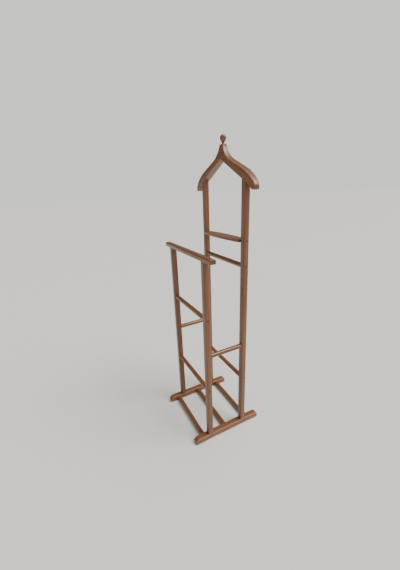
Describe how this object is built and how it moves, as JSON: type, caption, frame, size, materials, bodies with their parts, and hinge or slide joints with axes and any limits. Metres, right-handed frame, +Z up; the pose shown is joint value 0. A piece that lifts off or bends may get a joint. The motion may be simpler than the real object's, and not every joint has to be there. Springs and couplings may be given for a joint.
{
  "type": "valet stand",
  "caption": "Free-standing wooden valet stand with a coat hanger, a trouser bar, a bowed shelf and shoe bars, doweled and screwed together.",
  "frame": {"origin": "on the floor, under the middle of the two feet", "axes": "+Z up, -Y to the front (the trouser bar's side), +X to the right seen from the front"},
  "size_m": [0.402, 0.321, 1.203],
  "materials": {
    "post_wood": "satin varnished hardwood, stained medium brown, grain along the post",
    "foot_wood": "satin varnished hardwood, stained medium brown, grain from front to back",
    "rung_wood": "satin varnished hardwood dowel, stained medium brown",
    "bar_wood": "satin varnished hardwood, stained medium brown, polished by use on top",
    "shelf_wood": "satin varnished hardwood slat, stained medium brown",
    "hanger_wood": "semi-gloss varnished hardwood, stained medium brown, grain along each arm",
    "finial_wood": "semi-gloss varnished turned hardwood",
    "plug_wood": "varnished wood plug, a little darker than its post",
    "dowel_wood": "plain birch dowel",
    "screw_steel": "zinc plated, dull"
  },
  "bodies": {
    "root": {"foot_left": "foot_wood", "foot_right": "foot_wood", "post_front_left": "post_wood", "post_front_right": "post_wood", "post_rear_left": "post_wood", "post_rear_right": "post_wood", "side_rung_left": "rung_wood", "side_rung_right": "rung_wood", "front_upper_rung": "rung_wood", "front_lower_rung": "rung_wood", "rear_upper_rung": "rung_wood", "rear_lower_rung": "rung_wood", "shoe_bar_front": "rung_wood", "shoe_bar_middle": "rung_wood", "shoe_bar_rear": "rung_wood", "trouser_bar": "bar_wood", "accessory_shelf": "shelf_wood", "hanger_arm_left": "hanger_wood", "hanger_arm_right": "hanger_wood", "finial": "finial_wood", "finial_stud": "screw_steel", "hanger_lap_dowels": "plug_wood", "hanger_post_dowels": "dowel_wood", "cross_member_screws": "screw_steel", "cross_member_plugs": "plug_wood", "trouser_bar_screws": "screw_steel", "trouser_bar_plugs": "plug_wood", "foot_screws": "screw_steel"}
  },
  "joints": []
}
